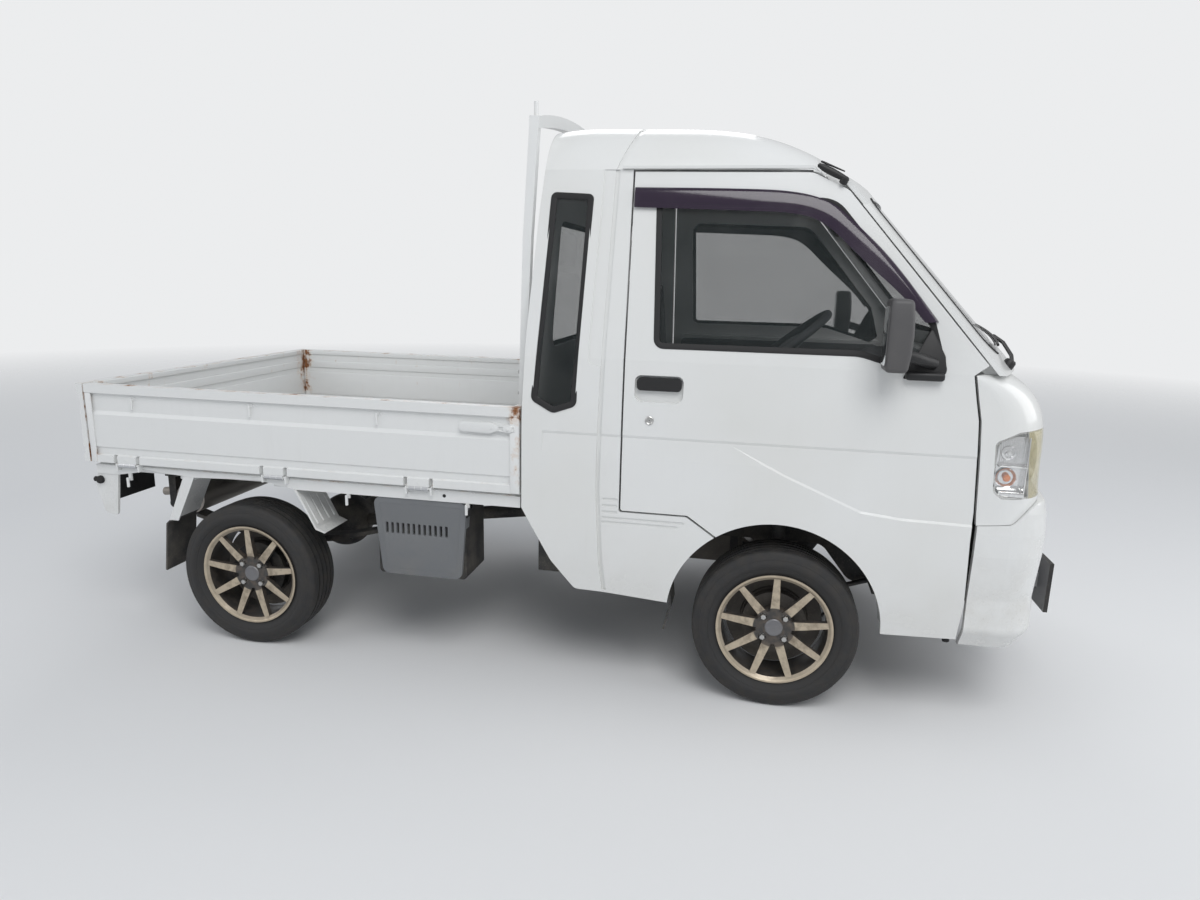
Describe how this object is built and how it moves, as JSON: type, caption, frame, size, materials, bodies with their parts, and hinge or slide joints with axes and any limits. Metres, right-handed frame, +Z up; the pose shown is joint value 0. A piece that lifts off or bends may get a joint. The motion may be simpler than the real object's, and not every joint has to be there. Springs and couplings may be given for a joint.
{
  "type": "kei truck",
  "caption": "Small forward-control truck with an extended high-roof cab, two doors, a drop-side bed with a guard frame, alloy wheels and working steering.",
  "frame": {"origin": "on the ground, under the middle of the truck's bounding box", "axes": "+X forward, +Y to the truck's left, +Z up; right-hand drive, so the steering wheel is at -Y"},
  "size_m": [3.4249, 1.7148, 1.9247],
  "materials": {
    "paint_white": "gloss white body paint",
    "chassis_black": "satin black underbody paint",
    "black_plastic": "grained black plastic",
    "grey_plastic": "grained dark grey plastic",
    "interior_plastic": "grained grey interior plastic",
    "seat_cloth": "dark grey woven seat cloth",
    "window_glass": "lightly green tinted safety glass",
    "visor_smoke": "smoked acrylic",
    "lamp_clear": "slightly yellowed clear lens",
    "lamp_bowl": "bright moulded reflector",
    "lamp_red": "red lens",
    "alloy_grey": "grey cast alloy, worn",
    "tyre_rubber": "tyre rubber",
    "flap_rubber": "sheet rubber",
    "cast_metal": "rough cast metal",
    "plain_steel": "dull steel"
  },
  "bodies": {
    "truck": {"frame": "chassis_black", "cross_members": "chassis_black", "headlamp_housings": "lamp_bowl", "cab_floor": "chassis_black", "cab_back": "paint_white", "roof": "paint_white", "windscreen_frame": "paint_white", "windscreen": "window_glass", "rear_windows": "window_glass", "front_panel": "paint_white", "front_bumper": "paint_white", "headlamps": "lamp_clear", "dashboard": "interior_plastic", "seats": "seat_cloth", "bed_floor": "paint_white", "guard_frame": "paint_white", "battery_box": "black_plastic", "fuel_tank": "chassis_black", "rear_mudguards": "paint_white", "mud_flaps": "flap_rubber", "tail_lamps": "lamp_red", "licence_plate": "grey_plastic", "engine_block": "cast_metal", "exhaust": "plain_steel", "rear_axle": "chassis_black", "leaf_springs": "chassis_black", "front_suspension": "chassis_black", "cab_side_right": "paint_white", "cab_side_left": "paint_white"},
    "tailgate": {"tailgate": "paint_white"},
    "steering_wheel": {"steering_wheel": "interior_plastic"},
    "door_right": {"door_right": "paint_white", "door_glass_right": "window_glass", "door_visor_right": "visor_smoke", "mirror_right": "black_plastic", "door_handle_right": "black_plastic"},
    "side_gate_right": {"side_gate_right": "paint_white"},
    "knuckle_right": {"knuckle_right": "cast_metal"},
    "wheel_front_right": {"rim_front_right": "alloy_grey", "tyre_front_right": "tyre_rubber"},
    "wheel_rear_right": {"rim_rear_right": "alloy_grey", "tyre_rear_right": "tyre_rubber"},
    "door_left": {"door_left": "paint_white", "door_glass_left": "window_glass", "door_visor_left": "visor_smoke", "mirror_left": "black_plastic", "door_handle_left": "black_plastic"},
    "side_gate_left": {"side_gate_left": "paint_white"},
    "knuckle_left": {"knuckle_left": "cast_metal"},
    "wheel_front_left": {"rim_front_left": "alloy_grey", "tyre_front_left": "tyre_rubber"},
    "wheel_rear_left": {"rim_rear_left": "alloy_grey", "tyre_rear_left": "tyre_rubber"}
  },
  "joints": [
    {"name": "door_right_hinge", "type": "hinge", "parent": "truck", "child": "door_right", "pos_m": [1.3535, -0.7255, 0.7], "axis": [0, 0, 1], "range_deg": [0, 65]},
    {"name": "door_left_hinge", "type": "hinge", "parent": "truck", "child": "door_left", "pos_m": [1.3535, 0.7255, 0.7], "axis": [0, 0, -1], "range_deg": [0, 65]},
    {"name": "side_gate_right_hinge", "type": "hinge", "parent": "truck", "child": "side_gate_right", "pos_m": [-0.9225, -0.73, 0.656], "axis": [1, 0, 0], "range_deg": [0, 170]},
    {"name": "side_gate_left_hinge", "type": "hinge", "parent": "truck", "child": "side_gate_left", "pos_m": [-0.9225, 0.73, 0.656], "axis": [-1, 0, 0], "range_deg": [0, 170]},
    {"name": "tailgate_hinge", "type": "hinge", "parent": "truck", "child": "tailgate", "pos_m": [-1.7025, 0, 0.656], "axis": [0, -1, 0], "range_deg": [0, 170]},
    {"name": "steer_left", "type": "hinge", "parent": "truck", "child": "knuckle_left", "pos_m": [0.8275, 0.59, 0.2685], "axis": [0, -0.2079, 0.9781], "range_deg": [-35, 35]},
    {"name": "steer_right", "type": "hinge", "parent": "truck", "child": "knuckle_right", "pos_m": [0.8275, -0.59, 0.2685], "axis": [0, 0.2079, 0.9781], "range_deg": [-35, 35]},
    {"name": "wheel_front_left_spin", "type": "hinge", "parent": "knuckle_left", "child": "wheel_front_left", "pos_m": [0.8275, 0.652, 0.2685], "axis": [0, 1, 0], "continuous": true},
    {"name": "wheel_front_right_spin", "type": "hinge", "parent": "knuckle_right", "child": "wheel_front_right", "pos_m": [0.8275, -0.652, 0.2685], "axis": [0, 1, 0], "continuous": true},
    {"name": "wheel_rear_left_spin", "type": "hinge", "parent": "truck", "child": "wheel_rear_left", "pos_m": [-1.0725, 0.65, 0.2685], "axis": [0, 1, 0], "continuous": true},
    {"name": "wheel_rear_right_spin", "type": "hinge", "parent": "truck", "child": "wheel_rear_right", "pos_m": [-1.0725, -0.65, 0.2685], "axis": [0, 1, 0], "continuous": true},
    {"name": "steering_wheel_turn", "type": "hinge", "parent": "truck", "child": "steering_wheel", "pos_m": [0.8125, -0.33, 1.16], "axis": [-0.6293, 0, 0.7771], "range_deg": [-600, 600]}
  ],
  "couplings": [
    {"joint": "steer_right", "follows": "steer_left", "ratio": 1},
    {"joint": "steering_wheel_turn", "follows": "steer_left", "ratio": 17}
  ]
}
